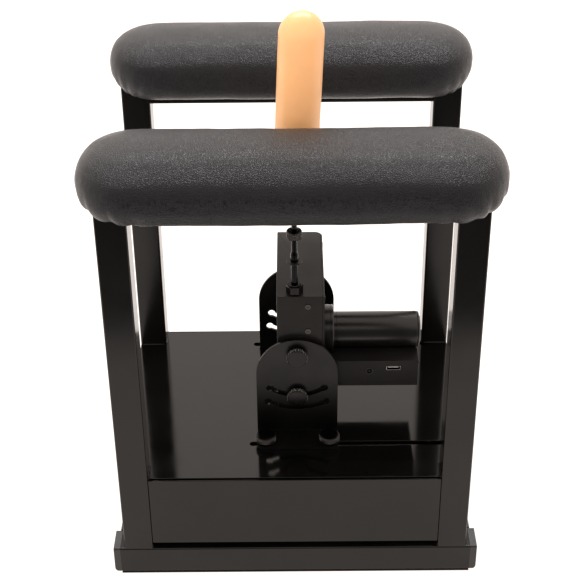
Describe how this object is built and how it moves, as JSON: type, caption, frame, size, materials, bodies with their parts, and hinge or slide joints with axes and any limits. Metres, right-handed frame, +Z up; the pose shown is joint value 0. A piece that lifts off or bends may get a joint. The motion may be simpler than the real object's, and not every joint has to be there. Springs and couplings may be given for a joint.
{
  "type": "adult motorised seat machine",
  "caption": "Adult seat machine: a black tube stand with padded bolsters and a sliding, tilting motor drive that strokes a plain round-ended attachment between them.",
  "frame": {"origin": "middle of the stand's footprint, on the floor", "axes": "+X to the motor's side, +Y to the rear, +Z up"},
  "size_m": [0.386, 0.4, 0.588],
  "materials": {
    "frame_paint": "gloss black powder coat",
    "deck_paint": "high-gloss black enamel",
    "drive_paint": "satin dark grey powder coat",
    "bracket_paint": "satin dark powder coat",
    "black_steel": "black oxide",
    "rod_black": "polished black oxide",
    "bright_steel": "turned and ground",
    "chrome": "polished plate",
    "motor_paint": "satin black, turned",
    "cushion_cover": "fine-grained satin faux leather",
    "silicone": "smooth satin silicone",
    "board": "sanded plywood",
    "black_plastic": "moulded",
    "foot_rubber": "matt",
    "circuit": "solder-masked board"
  },
  "bodies": {
    "frame": {"leg_front_left": "frame_paint", "leg_front_right": "frame_paint", "leg_rear_left": "frame_paint", "leg_rear_right": "frame_paint", "front_base_bar": "frame_paint", "rear_base_bar": "frame_paint", "side_runners": "frame_paint", "base_bar_caps": "black_plastic", "foot_pads": "foot_rubber", "front_top_bar": "frame_paint", "rear_top_bar": "frame_paint", "front_panel": "frame_paint", "rear_panel": "frame_paint", "side_panels": "frame_paint", "deck_plate": "deck_paint", "cushion_boards": "board", "cushion_screws": "bright_steel", "front_cushion": "cushion_cover", "rear_cushion": "cushion_cover"},
    "carriage": {"front_bracket": "bracket_paint", "rear_bracket": "bracket_paint", "clamp_strips": "bright_steel"},
    "drive": {"drive_housing": "drive_paint", "housing_cover": "drive_paint", "housing_screws": "black_steel", "friction_discs": "bracket_paint", "lock_spacers": "bright_steel", "rod_gland": "black_steel", "lower_guide": "bright_steel", "guide_rod": "bright_steel", "gearhead": "motor_paint", "motor_body": "motor_paint", "motor_end_cap": "motor_paint", "control_box": "drive_paint", "control_box_lid": "drive_paint", "control_box_base": "drive_paint", "circuit_board": "circuit", "power_inlet": "black_plastic", "port_socket": "chrome"},
    "crank": {"output_shaft": "bright_steel", "crank_disc": "bright_steel", "crank_pin": "bright_steel"},
    "rod": {"slotted_yoke": "bright_steel", "drive_rod": "rod_black", "rod_disc": "drive_paint", "rod_coupler": "rod_black"},
    "collar": {"lock_collar": "black_steel"},
    "attachment_body": {"attachment_stem": "black_steel", "attachment": "silicone"},
    "foot_knob_front_left_body": {"foot_knob_front_left": "black_steel"},
    "foot_knob_front_right_body": {"foot_knob_front_right": "black_steel"},
    "foot_knob_rear_left_body": {"foot_knob_rear_left": "black_steel"},
    "foot_knob_rear_right_body": {"foot_knob_rear_right": "black_steel"},
    "pivot_knob_front_body": {"pivot_knob_front": "black_steel"},
    "pivot_knob_rear_body": {"pivot_knob_rear": "black_steel"},
    "lock_knob_front_body": {"lock_knob_front": "black_steel"},
    "lock_knob_rear_body": {"lock_knob_rear": "black_steel"}
  },
  "joints": [
    {"name": "drive_slide", "type": "slide", "parent": "frame", "child": "carriage", "axis": [1, 0, 0], "range_m": [-0.012, 0.1]},
    {"name": "drive_tilt", "type": "hinge", "parent": "carriage", "child": "drive", "pos_m": [0.0034, 0, 0.225], "axis": [0, 1, 0], "range_deg": [-30, 24]},
    {"name": "crank_turn", "type": "hinge", "parent": "drive", "child": "crank", "pos_m": [0.0125, -0.008, 0.2225], "axis": [1, 0, 0], "range_deg": [-60, 60]},
    {"name": "rod_stroke", "type": "slide", "parent": "drive", "child": "rod", "axis": [0, 0, 1], "range_m": [-0.0146, 0.0146]},
    {"name": "collar_release", "type": "slide", "parent": "rod", "child": "collar", "axis": [0, 0, 1], "range_m": [-0.003, 0], "stiffness_N_per_m": 300, "springref_m": 0.003},
    {"name": "attachment_pull", "type": "slide", "parent": "rod", "child": "attachment_body", "axis": [0, 0, 1], "range_m": [0, 0.06]},
    {"name": "foot_knob_front_left_turn", "type": "hinge", "parent": "carriage", "child": "foot_knob_front_left_body", "pos_m": [-0.0301, -0.08, 0.13], "axis": [0, 0, 1], "range_deg": [0, 180]},
    {"name": "foot_knob_front_right_turn", "type": "hinge", "parent": "carriage", "child": "foot_knob_front_right_body", "pos_m": [0.0369, -0.08, 0.13], "axis": [0, 0, 1], "range_deg": [0, 180]},
    {"name": "pivot_knob_front_turn", "type": "hinge", "parent": "drive", "child": "pivot_knob_front_body", "pos_m": [0.0034, -0.066, 0.225], "axis": [0, -1, 0], "range_deg": [0, 180]},
    {"name": "lock_knob_front_turn", "type": "hinge", "parent": "drive", "child": "lock_knob_front_body", "pos_m": [0.0034, -0.066, 0.175], "axis": [0, -1, 0], "range_deg": [0, 180]},
    {"name": "foot_knob_rear_left_turn", "type": "hinge", "parent": "carriage", "child": "foot_knob_rear_left_body", "pos_m": [-0.0301, 0.109, 0.13], "axis": [0, 0, 1], "range_deg": [0, 180]},
    {"name": "foot_knob_rear_right_turn", "type": "hinge", "parent": "carriage", "child": "foot_knob_rear_right_body", "pos_m": [0.0369, 0.109, 0.13], "axis": [0, 0, 1], "range_deg": [0, 180]},
    {"name": "pivot_knob_rear_turn", "type": "hinge", "parent": "drive", "child": "pivot_knob_rear_body", "pos_m": [0.0034, 0.095, 0.225], "axis": [0, 1, 0], "range_deg": [0, 180]},
    {"name": "lock_knob_rear_turn", "type": "hinge", "parent": "drive", "child": "lock_knob_rear_body", "pos_m": [0.0034, 0.095, 0.175], "axis": [0, 1, 0], "range_deg": [0, 180]}
  ],
  "couplings": [
    {"joint": "crank_turn", "follows": "rod_stroke", "rad_per_m": 71.67}
  ]
}
